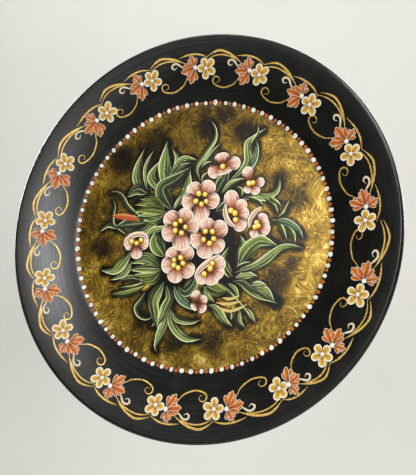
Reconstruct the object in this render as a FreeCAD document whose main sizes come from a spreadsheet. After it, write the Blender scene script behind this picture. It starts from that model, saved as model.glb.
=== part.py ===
"""Round painted sheet-steel wall tray, with the hanger that is soldered behind its flange.

The tray's axis is Y. The flat back of its base lies in the plane y = 0 with the origin at its
centre, the painted face looks towards -Y, and +Z is up as the tray hangs. Millimetres, degrees.

Four pieces make it: the pressed tray, whose edge is rolled over a steel ring; the ring in that
roll; a folded strap on the back of the flange; and the wire D-ring that swings in the strap.
"""
import FreeCAD, Part
import math
import os

import Sketcher

SIZES = {
    "tray_radius": 150.0,     # over the rolled edge
    "sheet": 0.8,             # thickness of the tray's steel
    "base_radius": 97.0,      # flat part of the base
    "cove_radius": 18.0,      # bend between base and flange, on the painted side
    "cove_slope": 22.0,       # slope of the flange where it leaves the cove
    "lip_slope": 13.0,        # slope of the flange where it meets the rolled edge
    "roll_turn": 285.0,       # how far the edge is rolled round its wire
    "wire_radius": 1.1,       # the wire in the rolled edge
    "wire_gap": 0.02,         # between that wire and the sheet round it
    "pivot_radius": 126.0,    # distance of the hanger's pivot from the tray's axis
    "pivot_height": 1.05,     # of the pivot above the back of the flange
    "pivot_gap": 0.08,        # between the ring's bar and the strap's loop
    "solder": 0.1,            # under the strap's flat feet, on the curved flange
    "strap_width": 9.0,
    "strap_sheet": 0.6,
    "strap_foot": 4.5,        # length of each soldered foot
    "foot_corner": 1.5,       # rounding of the feet's corners
    "ring_wire": 0.8,         # radius of the D-ring's wire
    "ring_half_width": 7.5,   # of its centre line
    "ring_corner": 2.0,       # bend at each end of the bar
    "ring_side": 5.2,         # straight side between that bend and the bow
}

X_AXIS = FreeCAD.Vector(1, 0, 0)
SKETCH_NORMAL = FreeCAD.Vector(0, 0, 1)
ORIGIN = (-1, 1)              # a sketch's own origin, as a constraint names it
START, END, CENTRE = 1, 2, 3  # a curve's points, as a constraint names them


# ------------------------------------------------------------------------- helpers

def make_sheet(doc):
    sheet = doc.addObject("Spreadsheet::Sheet", "Sizes")
    for row, (name, value) in enumerate(SIZES.items(), start=1):
        sheet.set(f"A{row}", name)
        sheet.set(f"B{row}", str(value))
        sheet.setAlias(f"B{row}", name)
    doc.recompute()


def make_body(doc, name):
    body = doc.addObject("PartDesign::Body", name)
    body.Label = name
    return body


def make_sketch(body, name, plane):
    sketch = body.newObject("Sketcher::SketchObject", name)
    feature = next(f for f in body.Origin.OriginFeatures if f.Role == plane)
    sketch.AttachmentSupport = [(feature, "")]
    sketch.MapMode = "FlatFace"
    return sketch


def point(x, y):
    return FreeCAD.Vector(x, y, 0)


def line(sketch, a, b, construction=False):
    return sketch.addGeometry(Part.LineSegment(point(*a), point(*b)), construction)


def arc(sketch, centre, radius, start, end):
    """An arc anticlockwise from start to end, both in degrees."""
    circle = Part.Circle(point(*centre), SKETCH_NORMAL, radius)
    return sketch.addGeometry(
        Part.ArcOfCircle(circle, math.radians(start), math.radians(end)), False
    )


def constrain(sketch, *terms):
    return sketch.addConstraint(Sketcher.Constraint(*terms))


def join(sketch, a, b, kind="Coincident"):
    """Joins two points, each a curve and one of its points; kind Tangent joins smoothly."""
    constrain(sketch, kind, a[0], a[1], b[0], b[1])


def bind(sketch, name, expression, *terms):
    """A dimension of the sketch, with a name, that follows the sheet."""
    index = constrain(sketch, *terms)
    sketch.renameConstraint(index, name)
    sketch.setExpression(f"Constraints.{name}", expression)


def measure(sketch, name, *terms):
    """A dimension that the sketch works out, for other pieces to follow."""
    index = constrain(sketch, *terms)
    sketch.setDriving(index, False)
    sketch.renameConstraint(index, name)


def along(centre, radius, angle):
    """The point at an angle, in degrees, on a circle."""
    return (
        centre[0] + radius * math.cos(math.radians(angle)),
        centre[1] + radius * math.sin(math.radians(angle)),
    )


# ------------------------------------------------------------------------- the tray

def section_places():
    """Where the tray's section starts: its centres and radii, before the sketch is solved."""
    s = SIZES
    roll = s["wire_radius"] + s["wire_gap"] + s["sheet"]
    steep, shallow = math.radians(s["cove_slope"]), math.radians(s["lip_slope"])
    reach = s["tray_radius"] - roll - s["base_radius"] - s["cove_radius"] * math.sin(steep)
    flange = (reach - roll * math.sin(shallow)) / (math.sin(steep) - math.sin(shallow))
    cove_centre = (s["base_radius"], -s["sheet"] - s["cove_radius"])
    flange_centre = along(cove_centre, s["cove_radius"] + flange, 90 - s["cove_slope"])
    roll_centre = along(flange_centre, flange - roll, 270 - s["lip_slope"])
    return cove_centre, flange, flange_centre, roll, roll_centre


def make_tray(doc):
    """Half the section of one sheet - base, cove, flange and rolled edge - turned about Y."""
    body = make_body(doc, "tray_body")
    sketch = make_sketch(body, "tray_section", "XY_Plane")
    s = SIZES
    sheet, base = s["sheet"], s["base_radius"]
    cove_centre, flange, flange_centre, roll, roll_centre = section_places()
    cove_at = (90 - s["cove_slope"], 90)
    flange_at = (270 - s["cove_slope"], 270 - s["lip_slope"])
    roll_at = (flange_at[1], flange_at[1] + s["roll_turn"])

    axis = line(sketch, (0, 0), (0, -sheet))
    front_base = line(sketch, (0, -sheet), (base, -sheet))
    front_cove = arc(sketch, cove_centre, s["cove_radius"], *cove_at)
    front_flange = arc(sketch, flange_centre, flange, *flange_at)
    roll_outer = arc(sketch, roll_centre, roll, *roll_at)
    cut_edge = line(
        sketch, along(roll_centre, roll, roll_at[1]), along(roll_centre, roll - sheet, roll_at[1])
    )
    roll_inner = arc(sketch, roll_centre, roll - sheet, *roll_at)
    back_flange = arc(sketch, flange_centre, flange - sheet, *flange_at)
    back_cove = arc(sketch, cove_centre, s["cove_radius"] + sheet, *cove_at)
    back_base = line(sketch, (base, 0), (0, 0))

    join(sketch, (axis, START), ORIGIN)
    join(sketch, (axis, END), (front_base, START))
    join(sketch, (front_base, END), (front_cove, END), "Tangent")
    join(sketch, (front_cove, START), (front_flange, START), "Tangent")
    join(sketch, (front_flange, END), (roll_outer, START), "Tangent")
    join(sketch, (roll_outer, END), (cut_edge, START))
    join(sketch, (cut_edge, END), (roll_inner, END))
    join(sketch, (roll_inner, START), (back_flange, END), "Tangent")
    join(sketch, (back_flange, START), (back_cove, START), "Tangent")
    join(sketch, (back_cove, END), (back_base, START), "Tangent")
    join(sketch, (back_base, END), (axis, START))
    join(sketch, (front_cove, CENTRE), (back_cove, CENTRE))
    join(sketch, (front_flange, CENTRE), (back_flange, CENTRE))
    join(sketch, (roll_outer, CENTRE), (roll_inner, CENTRE))
    constrain(sketch, "Vertical", axis)
    constrain(sketch, "Horizontal", front_base)
    constrain(sketch, "Horizontal", back_base)
    constrain(sketch, "PointOnObject", roll_outer, CENTRE, cut_edge)

    roll_sum = "Sizes.wire_radius + Sizes.wire_gap + Sizes.sheet"
    bind(sketch, "thickness", "Sizes.sheet", "Distance", axis, sheet)
    bind(sketch, "base", "Sizes.base_radius", "Distance", front_base, base)
    bind(sketch, "cove", "Sizes.cove_radius", "Radius", front_cove, s["cove_radius"])
    bind(sketch, "cove_turn", "Sizes.cove_slope", "Angle", front_cove,
         math.radians(s["cove_slope"]))
    bind(sketch, "flange_turn", "Sizes.cove_slope - Sizes.lip_slope", "Angle", front_flange,
         math.radians(s["cove_slope"] - s["lip_slope"]))
    bind(sketch, "roll", roll_sum, "Radius", roll_outer, roll)
    bind(sketch, "roll_turn", "Sizes.roll_turn", "Angle", roll_outer,
         math.radians(s["roll_turn"]))
    bind(sketch, "roll_reach", f"Sizes.tray_radius - ({roll_sum})", "DistanceX",
         *ORIGIN, roll_outer, CENTRE, roll_centre[0])
    measure(sketch, "roll_rise", "DistanceY", roll_outer, CENTRE, *ORIGIN, -roll_centre[1])

    # Two lines square to the flange's back: across the solder to the strap, then to the pivot.
    pivot_arc = flange - sheet - s["pivot_height"]
    pivot_sine = (flange_centre[0] - s["pivot_radius"]) / pivot_arc
    pivot_at = 270 - math.degrees(math.asin(pivot_sine))
    flange_point = along(flange_centre, flange - sheet, pivot_at)
    seat_point = along(flange_centre, flange - sheet - s["solder"], pivot_at)
    pivot_point = along(flange_centre, pivot_arc, pivot_at)
    solder = line(sketch, flange_point, seat_point, construction=True)
    seat = line(sketch, seat_point, pivot_point, construction=True)
    join(sketch, (solder, END), (seat, START))
    constrain(sketch, "PointOnObject", solder, START, back_flange)
    constrain(sketch, "PointOnObject", back_flange, CENTRE, solder)
    constrain(sketch, "PointOnObject", back_flange, CENTRE, seat)
    bind(sketch, "solder", "Sizes.solder", "Distance", solder, s["solder"])
    bind(sketch, "seat_height", "Sizes.pivot_height - Sizes.solder", "Distance", seat,
         s["pivot_height"] - s["solder"])
    bind(sketch, "pivot_reach", "Sizes.pivot_radius", "DistanceX", *ORIGIN, seat, END,
         s["pivot_radius"])
    measure(sketch, "pivot_rise", "DistanceY", seat, END, *ORIGIN, -pivot_point[1])
    measure(sketch, "seat_rise", "DistanceY", seat, START, *ORIGIN, -seat_point[1])
    measure(sketch, "seat_reach", "DistanceX", *ORIGIN, seat, START, seat_point[0])
    doc.recompute()

    revolve = body.newObject("PartDesign::Revolution", "tray_turned")
    revolve.Profile = sketch
    revolve.ReferenceAxis = (sketch, ["V_Axis"])
    revolve.Angle = 360.0
    body.Tip = revolve
    return body


def make_rim_wire(doc):
    """The steel ring that the tray's edge is rolled over."""
    wire = doc.addObject("Part::Torus", "rim_wire")
    wire.Label = "rim_wire"
    wire.setExpression("Radius1", "tray_section.Constraints.roll_reach")
    wire.setExpression("Radius2", "Sizes.wire_radius")
    wire.Placement = FreeCAD.Placement(FreeCAD.Vector(), FreeCAD.Rotation(X_AXIS, 90))
    wire.setExpression("Placement.Base.y", "-tray_section.Constraints.roll_rise")
    return wire


# ----------------------------------------------------------------------- the hanger

SEAT_SLOPE = (
    "asin((tray_section.Constraints.pivot_reach - tray_section.Constraints.seat_reach)"
    " / tray_section.Constraints.seat_height)"
)


def place_on_flange(body, reach, rise):
    """Moves a hanger piece from the origin to a place behind the flange, straight above it."""
    body.setExpression("Placement.Base.y", f"-tray_section.Constraints.{rise}")
    body.setExpression("Placement.Base.z", f"tray_section.Constraints.{reach}")


def make_strap(doc):
    """A strip folded over the ring's bar, with a foot each side. Y is away from the flange."""
    body = make_body(doc, "hanger_strap")
    sketch = make_sketch(body, "strap_section", "YZ_Plane")
    s = SIZES
    sheet, height = s["strap_sheet"], s["pivot_height"] - s["solder"]
    inner = s["ring_wire"] + s["pivot_gap"]
    outer = inner + sheet
    toe = outer + s["strap_foot"]

    loop_outer = arc(sketch, (height, 0), outer, -90, 90)
    loop_inner = arc(sketch, (height, 0), inner, -90, 90)
    sides = {}
    for side in (-1, 1):
        corners = [
            (height, side * outer),
            (sheet, side * outer),
            (sheet, side * toe),
            (0, side * toe),
            (0, side * inner),
            (height, side * inner),
        ]
        lines = [line(sketch, a, b) for a, b in zip(corners, corners[1:])]
        for before, after in zip(lines, lines[1:]):
            join(sketch, (before, END), (after, START))
        end = START if side < 0 else END
        join(sketch, (lines[0], START), (loop_outer, end), "Tangent")
        join(sketch, (lines[-1], END), (loop_inner, end), "Tangent")
        for index in (1, 3):
            constrain(sketch, "Vertical", lines[index])
        for index in (0, 2, 4):
            constrain(sketch, "Horizontal", lines[index])
        constrain(sketch, "PointOnObject", lines[3], START, -2)
        sides[side] = lines
    for index in (1, 2):
        constrain(sketch, "Equal", sides[-1][index], sides[1][index])
    join(sketch, (loop_outer, CENTRE), (loop_inner, CENTRE))
    constrain(sketch, "PointOnObject", loop_outer, CENTRE, -1)
    bind(sketch, "height", "Sizes.pivot_height - Sizes.solder", "DistanceX",
         *ORIGIN, loop_outer, CENTRE, height)
    bind(sketch, "inner", "Sizes.ring_wire + Sizes.pivot_gap", "Radius", loop_inner, inner)
    bind(sketch, "outer", "Sizes.ring_wire + Sizes.pivot_gap + Sizes.strap_sheet",
         "Radius", loop_outer, outer)
    bind(sketch, "foot", "Sizes.strap_foot", "Distance", sides[1][1], s["strap_foot"])
    bind(sketch, "foot_sheet", "Sizes.strap_sheet", "Distance", sides[1][2], sheet)
    doc.recompute()

    pad = body.newObject("PartDesign::Pad", "strap_pad")
    pad.Profile = sketch
    pad.Midplane = True
    pad.setExpression("Length", "Sizes.strap_width")
    doc.recompute()

    corners = body.newObject("PartDesign::Fillet", "strap_corners")
    names = [
        f"Edge{index}"
        for index, edge in enumerate(pad.Shape.Edges, start=1)
        if abs(edge.BoundBox.ZMin) > toe - 0.01 and edge.BoundBox.ZLength < 0.01
        and abs(edge.BoundBox.YLength - sheet) < 0.01
    ]
    corners.Base = (pad, names)
    corners.setExpression("Radius", "Sizes.foot_corner")
    body.Tip = corners
    body.Placement = FreeCAD.Placement(FreeCAD.Vector(), FreeCAD.Rotation(X_AXIS, 15))
    body.setExpression("Placement.Rotation.Angle", SEAT_SLOPE)
    place_on_flange(body, "seat_reach", "seat_rise")
    return body


def make_ring(doc):
    """A closed D of round wire, upright as it hangs: its bar turns in the strap, along X."""
    body = make_body(doc, "hanger_ring")
    s = SIZES
    half, corner, side = s["ring_half_width"], s["ring_corner"], s["ring_side"]
    bow_height = corner + side

    path = make_sketch(body, "ring_path", "XZ_Plane")
    bar = line(path, (-half + corner, 0), (half - corner, 0))
    right_corner = arc(path, (half - corner, corner), corner, -90, 0)
    right = line(path, (half, corner), (half, bow_height))
    bow = arc(path, (0, bow_height), half, 0, 180)
    left = line(path, (-half, bow_height), (-half, corner))
    left_corner = arc(path, (-half + corner, corner), corner, 180, 270)
    curves = [
        (bar, END, right_corner, START),
        (right_corner, END, right, START),
        (right, END, bow, START),
        (bow, END, left, START),
        (left, END, left_corner, START),
        (left_corner, END, bar, START),
    ]
    for a, a_end, b, b_end in curves:
        join(path, (a, a_end), (b, b_end), "Tangent")
    constrain(path, "Horizontal", bar)
    constrain(path, "Vertical", right)
    constrain(path, "Vertical", left)
    constrain(path, "Equal", right_corner, left_corner)
    constrain(path, "PointOnObject", bar, START, -1)
    constrain(path, "PointOnObject", bow, CENTRE, -2)
    bind(path, "half_width", "Sizes.ring_half_width", "Radius", bow, half)
    bind(path, "corner", "Sizes.ring_corner", "Radius", right_corner, corner)
    bind(path, "side", "Sizes.ring_side", "Distance", right, side)

    profile = make_sketch(body, "ring_profile", "YZ_Plane")
    circle = profile.addGeometry(
        Part.Circle(point(0, 0), SKETCH_NORMAL, s["ring_wire"]), False
    )
    join(profile, (circle, CENTRE), ORIGIN)
    bind(profile, "wire", "Sizes.ring_wire", "Radius", circle, s["ring_wire"])
    doc.recompute()

    pipe = body.newObject("PartDesign::AdditivePipe", "ring_wire_pipe")
    pipe.Profile = profile
    pipe.Spine = (path, [f"Edge{index + 1}" for index in range(len(curves))])
    body.Tip = pipe
    place_on_flange(body, "pivot_reach", "pivot_rise")
    return body


# -------------------------------------------------------------------------- export

def check(doc, parts):
    doc.recompute()
    for item in doc.Objects:
        if {"Invalid", "Error"} & set(item.State):
            raise RuntimeError(f"{item.Name} did not compute: {item.getStatusString()}")
        if item.isDerivedFrom("Sketcher::SketchObject") and not item.FullyConstrained:
            raise RuntimeError(f"{item.Name} is not fully constrained")
    for piece in parts:
        shape = piece.Shape
        if shape.isNull() or not shape.isValid() or len(shape.Solids) != 1:
            raise RuntimeError(f"{piece.Label} is not one valid solid")
        box = shape.optimalBoundingBox(False)
        print(
            f"{piece.Label}: {shape.Volume:.1f} mm3,"
            f" x {box.XMin:.2f} to {box.XMax:.2f},"
            f" y {box.YMin:.2f} to {box.YMax:.2f},"
            f" z {box.ZMin:.2f} to {box.ZMax:.2f}"
        )


def main():
    doc = FreeCAD.newDocument("painted_tray")
    make_sheet(doc)
    parts = [make_tray(doc), make_rim_wire(doc), make_strap(doc), make_ring(doc)]
    check(doc, parts)
    os.makedirs("parts", exist_ok=True)
    for piece in parts:
        piece.Shape.exportStep(f"parts/{piece.Label}.step")


main()
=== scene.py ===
"""Looks of a round painted tray: black lacquered steel, a gilded ground, flowers and leaves in oil paint.

The tray hangs face forward, toward -Y. The painting is laid out on its face in millimetres, x to the right
and z up from the centre. Every touch of paint is a thin raised patch of mesh that carries its own colour.
"""
import math
import random

import bmesh
import bpy
import numpy as np
from mathutils import Matrix, Vector


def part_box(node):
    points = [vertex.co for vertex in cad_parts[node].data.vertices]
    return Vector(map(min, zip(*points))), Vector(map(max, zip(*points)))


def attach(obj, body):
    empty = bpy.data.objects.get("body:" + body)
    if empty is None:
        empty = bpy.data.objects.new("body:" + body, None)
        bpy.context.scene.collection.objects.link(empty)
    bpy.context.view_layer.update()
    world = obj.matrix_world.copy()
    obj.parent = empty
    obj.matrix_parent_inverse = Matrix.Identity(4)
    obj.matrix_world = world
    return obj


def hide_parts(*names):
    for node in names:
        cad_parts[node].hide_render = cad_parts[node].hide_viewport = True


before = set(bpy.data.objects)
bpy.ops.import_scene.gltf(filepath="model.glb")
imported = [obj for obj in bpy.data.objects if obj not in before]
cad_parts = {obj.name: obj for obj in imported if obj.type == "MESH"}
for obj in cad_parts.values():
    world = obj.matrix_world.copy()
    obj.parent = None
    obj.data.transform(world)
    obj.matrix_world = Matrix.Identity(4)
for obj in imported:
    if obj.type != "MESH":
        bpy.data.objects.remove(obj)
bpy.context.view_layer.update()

MM = 0.001
TURN = 2 * math.pi

# ---- the tray's section, in millimetres
TRAY_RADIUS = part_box("tray_body")[1].x / MM
SHEET = 0.8
BASE_RADIUS = 97.0
COVE_RADIUS = 18.0
COVE_SLOPE = math.radians(22)
LIP_SLOPE = math.radians(13)
ROLL_RADIUS = 1.92
ROLL_TURN = math.radians(285)

cove_end = BASE_RADIUS + COVE_RADIUS * math.sin(COVE_SLOPE)
cove_end_y = -SHEET - COVE_RADIUS * (1 - math.cos(COVE_SLOPE))
roll_centre = TRAY_RADIUS - ROLL_RADIUS
flange_end = roll_centre - ROLL_RADIUS * math.sin(LIP_SLOPE)
FLANGE_RADIUS = (flange_end - cove_end) / (math.sin(COVE_SLOPE) - math.sin(LIP_SLOPE))
flange_centre = cove_end + FLANGE_RADIUS * math.sin(COVE_SLOPE)
flange_centre_y = cove_end_y + FLANGE_RADIUS * math.cos(COVE_SLOPE)
flange_end_y = flange_centre_y - FLANGE_RADIUS * math.cos(LIP_SLOPE)
roll_centre_y = flange_end_y + ROLL_RADIUS * math.cos(LIP_SLOPE)


def sheet_y(radius, depth=0.0):
    """Y of the sheet at this radius, depth below its front surface."""
    radius = np.asarray(radius, float)
    cove = np.sqrt(np.maximum((COVE_RADIUS + depth) ** 2 - (radius - BASE_RADIUS) ** 2, 0))
    flange = np.sqrt(np.maximum((FLANGE_RADIUS - depth) ** 2 - (flange_centre - radius) ** 2, 0))
    turn = BASE_RADIUS + (COVE_RADIUS + depth) * math.sin(COVE_SLOPE)
    y = np.where(radius < turn, cove - COVE_RADIUS - SHEET, flange_centre_y - flange)
    return np.where(radius < BASE_RADIUS, depth - SHEET, y)


def unevenness(x, z):
    """The slow, slight unevenness of pressed sheet, in mm, fading out toward the rolled edge."""
    radius = np.hypot(x, z)
    slow = np.sin(x / 23 + 1.3) * np.sin(z / 29 + 0.4)
    quick = np.sin((x + z) / 14 + 2) * np.sin((x - z) / 19)
    return 0.05 * (slow + 0.6 * quick) * np.clip((flange_end - radius) / 12, 0, 1)


def on_face(x, z, lift):
    """Points on the painted face, lift mm in front of it, as metres in the frame."""
    y = sheet_y(np.hypot(x, z)) + unevenness(x, z) - lift
    return np.stack([x, y, z], -1) * MM


# ---- colours
def linear(colour):
    """A colour given as 0-255 sRGB, as linear light."""
    c = np.asarray(colour, float) / 255
    return np.where(c <= 0.04045, c / 12.92, ((c + 0.055) / 1.055) ** 2.4)


def rgba(colour):
    """The same with an alpha of 1, as sockets take it."""
    return (*linear(colour), 1.0)


def mix(a, b, share):
    """Between colours a and b, for an array of shares."""
    share = np.clip(np.asarray(share, float), 0, 1)[..., None]
    return np.asarray(a, float) * (1 - share) + np.asarray(b, float) * share


def smooth(low, high, value):
    """0 below low, 1 above high, and smooth between."""
    t = np.clip((np.asarray(value, float) - low) / (high - low), 0, 1)
    return t * t * (3 - 2 * t)


# ---- touches of paint
# mm: where a touch's border ends under the face, where the lowest touch lies, and the share of its
# drawn height that a touch keeps, which leaves the thickest flower about 0.3 mm of paint
BURIED, FILM, RELIEF = -0.05, 0.032, 0.18
# mm: points nearer than this are one point
MERGED = 0.002
SHARP_EDGE = math.radians(50)


def grid_faces(shape, first=0):
    """The four-cornered faces of a grid of points, which are numbered row by row from first."""
    index = first + np.arange(shape[0] * shape[1]).reshape(shape)
    return np.stack([index[:-1, :-1], index[1:, :-1], index[1:, 1:], index[:-1, 1:]], -1).reshape(-1, 4)


def grid_mesh(name, points):
    """A mesh of one grid of points, in metres."""
    mesh = bpy.data.meshes.new(name)
    mesh.from_pydata(points.reshape(-1, 3).tolist(), [], grid_faces(points.shape[:2]).tolist())
    return mesh


class Paint:
    """Touches of paint gathered into one mesh, each point with a colour and a place along its stroke."""

    def __init__(self):
        self.points, self.colours, self.strokes, self.faces, self.count = [], [], [], [], 0

    def touch(self, x, z, lift, colour, along, across):
        """A grid of points as one touch of paint, whose border turns down into the face."""
        x, z, along, across = (np.pad(a, 1, mode="edge") for a in np.broadcast_arrays(x, z, along, across))
        drawn = x.shape[0] - 2, x.shape[1] - 2
        colour = np.pad(np.broadcast_to(colour, (*drawn, 3)), ((1, 1), (1, 1), (0, 0)), mode="edge")
        lift = np.pad(np.broadcast_to(FILM + RELIEF * lift, drawn), 1, constant_values=BURIED)
        self.points.append(on_face(x, z, lift).reshape(-1, 3))
        self.colours.append(np.insert(linear(colour), 3, 1, axis=-1).reshape(-1, 4))
        self.strokes.append(np.stack([along, across, 0 * along], -1).reshape(-1, 3))
        self.faces.append(grid_faces(x.shape, self.count))
        self.count += x.size

    def mesh(self, name):
        mesh = bpy.data.meshes.new(name)
        mesh.from_pydata(np.vstack(self.points).tolist(), [], np.vstack(self.faces).tolist())
        paint = mesh.color_attributes.new("paint", "FLOAT_COLOR", "POINT")
        paint.data.foreach_set("color", np.vstack(self.colours).ravel())
        stroke = mesh.attributes.new("stroke", "FLOAT_VECTOR", "POINT")
        stroke.data.foreach_set("vector", np.vstack(self.strokes).ravel())
        close_up(mesh)
        return mesh


def close_up(mesh):
    """Merges points that coincide, drops the empty faces that leaves, and smooths all but the sharp edges."""
    bm = bmesh.new()
    bm.from_mesh(mesh)
    bmesh.ops.remove_doubles(bm, verts=bm.verts, dist=MERGED * MM)
    bmesh.ops.dissolve_degenerate(bm, edges=bm.edges, dist=MERGED / 2 * MM)
    bm.to_mesh(mesh)
    bm.free()
    mesh.shade_smooth()
    mesh.set_sharp_from_angle(angle=SHARP_EDGE)


def put(name, data):
    """An object in the scene."""
    made = bpy.data.objects.new(name, data)
    bpy.context.scene.collection.objects.link(made)
    return made


def piece(name, mesh, material, body="tray"):
    """A finished mesh as a piece that moves with a body."""
    made = put(name, mesh)
    mesh.materials.append(material)
    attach(made, body)
    return made


def curve_through(points, step):
    """A smooth line through given points, with a point about every step mm."""
    given = np.array(points, float)
    ends = np.vstack([2 * given[0] - given[1], given, 2 * given[-1] - given[-2]])
    line = []
    for a, b, c, d in zip(ends, ends[1:], ends[2:], ends[3:]):
        count = max(2, round(float(np.linalg.norm(c - b)) / step))
        s = (np.arange(count) / count)[:, None]
        square, cube = 2 * a - 5 * b + 4 * c - d, 3 * b - a - 3 * c + d
        line.append(0.5 * (2 * b + (c - a) * s + square * s**2 + cube * s**3))
    return np.vstack(line + [given[-1:]])


def lengths(line):
    """Distance along the line at each of its points."""
    return np.concatenate([[0], np.cumsum(np.linalg.norm(np.diff(line, axis=0), axis=1))])


def beside(line, half, across):
    """Grids of x and z: across runs from -1 on the line's right to 1 on its left, half wide each way."""
    forward = np.gradient(line, axis=0)
    forward /= np.linalg.norm(forward, axis=1)[:, None] + 1e-9
    offset = np.asarray(half)[:, None] * np.asarray(across)[None, :]
    return line[:, :1] - forward[:, 1:] * offset, line[:, 1:] + forward[:, :1] * offset


def beside_line(line, half, across):
    """The line moved sideways by half times across: to its left where that is positive."""
    return np.hstack(beside(line, half, [across]))


def band(paint, line, half, across, lift, height, colour, along):
    """A touch of paint along a line, half wide each way and domed by height."""
    dome = height * (1 - across**2)
    paint.touch(*beside(line, half, across), lift + dome, colour, along[:, None], half[:, None] * across)


def brush_line(paint, line, width, colour, lift, taper=(0.3, 0.3), height=0.03, end_width=0.25):
    """A thin raised line: width in mm, tapering over the given shares of its length at start and end."""
    t = lengths(line) / lengths(line)[-1]
    swell = np.minimum(smooth(0, taper[0], t), smooth(0, taper[1], 1 - t))
    half = width / 2 * (end_width + (1 - end_width) * swell)
    band(paint, line, half, np.array([-1, -0.55, 0, 0.55, 1]), lift, height, colour, lengths(line))


def blob(paint, x, z, radius, height, inner, outer, lift, stretch=1.0, angle=0.0, sides=14):
    """A round drop of paint, domed, with one colour at its middle and another at its edge."""
    rho = np.array([0.0, 0.35, 0.65, 0.85, 1.0])[:, None]
    turn = np.linspace(0, TURN, sides + 1)[None, :]
    along, across = rho * np.cos(turn) * radius * stretch, rho * np.sin(turn) * radius
    bx = x + along * math.cos(angle) - across * math.sin(angle)
    bz = z + along * math.sin(angle) + across * math.cos(angle)
    dome = height * (1 - rho**2) ** 0.6
    paint.touch(bx, bz, lift + dome, mix(inner, outer, smooth(0.3, 0.9, rho)), along, across)


# ---- materials
def node(tree, kind, settings=None, **inputs):
    """A shader node; inputs are named as on the node with _ for a space, or _0, _1 by place."""
    made = tree.nodes.new("ShaderNode" + kind)
    for name, value in (settings or {}).items():
        setattr(made, name, value)
    for name, value in inputs.items():
        socket = made.inputs[int(name[1:])] if name[0] == "_" else made.inputs[name.replace("_", " ")]
        if isinstance(value, bpy.types.NodeSocket):
            tree.links.new(value, socket)
        else:
            socket.default_value = value
    return made


def new_material(name, **values):
    """A material, its node tree and its Principled shader with these values set."""
    material = bpy.data.materials.new(name)
    material.use_nodes = True
    tree = material.node_tree
    shader = tree.nodes["Principled BSDF"]
    for key, value in values.items():
        shader.inputs[key.replace("_", " ")].default_value = value
    return material, tree, shader


def feed(shader, name, socket):
    """Links a socket into the shader's input of this name."""
    shader.id_data.links.new(socket, shader.inputs[name])


def math_node(tree, operation, a, b=0.0):
    return node(tree, "Math", {"operation": operation}, _0=a, _1=b).outputs[0]


def times(tree, a, b):
    return math_node(tree, "MULTIPLY", a, b)


def vector_node(tree, operation, a, b):
    return node(tree, "VectorMath", {"operation": operation}, _0=a, _1=b).outputs[0]


def scaled(tree, vector, size):
    return node(tree, "VectorMath", {"operation": "SCALE"}, _0=vector, Scale=size).outputs[0]


def noise(tree, place, scale, detail, roughness=0.5, output=0):
    made = node(tree, "TexNoise", Vector=place, Scale=scale, Detail=detail, Roughness=roughness)
    return made.outputs[output]


def ramp(tree, factor, stops):
    """A colour ramp over (place, colour) stops, linear between them."""
    made = node(tree, "ValToRGB", Fac=factor)
    elements = made.color_ramp.elements
    while len(elements) < len(stops):
        elements.new(0.5)
    for element, (place, colour) in zip(elements, stops):
        element.position = place
        element.color = rgba(colour)
    return made.outputs["Color"]


def blend_colour(tree, share, a, b, how="MIX"):
    """Between colours a and b, each a colour or a socket."""
    return node(tree, "Mix", {"data_type": "RGBA", "blend_type": how}, Factor=share, _6=a, _7=b).outputs[2]


def face_millimetres(tree):
    """The place on the tray in millimetres."""
    return scaled(tree, node(tree, "TexCoord").outputs["Object"], 1 / MM)


def lacquer_material():
    """Black lacquer laid on with a brush round the tray: fine streaks in its gloss, and a little wear."""
    material, tree, shader = new_material("black_lacquer", Specular_IOR_Level=0.32)
    place = face_millimetres(tree)
    parts = node(tree, "SeparateXYZ", Vector=place).outputs
    x, z = parts["X"], parts["Z"]
    squares = [math_node(tree, "POWER", math_node(tree, "ABSOLUTE", part), 2.0) for part in (x, z)]
    radius = math_node(tree, "SQRT", math_node(tree, "ADD", *squares))
    angle = math_node(tree, "ARCTAN2", z, x)
    round_about = node(tree, "CombineXYZ", X=times(tree, radius, 0.9), Y=math_node(tree, "SINE", angle),
                       Z=math_node(tree, "COSINE", angle))
    streaks = noise(tree, round_about.outputs[0], 1.6, 5.0, 0.6)
    clouds = noise(tree, place, 0.06, 3.0)
    gloss = math_node(tree, "ADD", times(tree, streaks, 0.24), times(tree, clouds, 0.1))
    feed(shader, "Roughness", math_node(tree, "ADD", gloss, 0.1))
    dust = times(tree, streaks, clouds)
    colour = ramp(tree, dust, ((0.15, (8, 8, 6)), (0.32, (13, 13, 9)), (0.45, (22, 22, 17))))
    feed(shader, "Base Color", colour)
    bump = node(tree, "Bump", Strength=0.08, Distance=0.0002, Height=streaks)
    feed(shader, "Normal", bump.outputs[0])
    return material


def arc_strokes(tree, place, size, offset):
    """Noise drawn out along arcs round scattered centres, size mm apart: the marks of a turning brush."""
    moved = vector_node(tree, "ADD", place, (offset, 0.0, 2 * offset))
    drift = noise(tree, moved, 1.6 / size, 2.0, output="Color")
    centred = vector_node(tree, "SUBTRACT", drift, (0.5, 0.5, 0.5))
    bent = vector_node(tree, "ADD", moved, scaled(tree, centred, size * 0.5))
    cells = node(tree, "TexVoronoi", {"feature": "F1"}, Vector=bent, Scale=1 / size)
    out = vector_node(tree, "SUBTRACT", bent, cells.outputs["Position"])
    parts = node(tree, "SeparateXYZ", Vector=out).outputs
    ring = node(tree, "VectorMath", {"operation": "LENGTH"}, _0=out).outputs["Value"]
    turn = math_node(tree, "ARCTAN2", parts["Z"], parts["X"])
    seed = node(tree, "SeparateXYZ", Vector=cells.outputs["Color"]).outputs["X"]
    drawn = {"X": times(tree, ring, 1.15), "Y": times(tree, turn, 2.8), "Z": times(tree, seed, 40.0)}
    return noise(tree, node(tree, "CombineXYZ", **drawn).outputs[0], 1.0, 4.0, 0.7)
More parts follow.
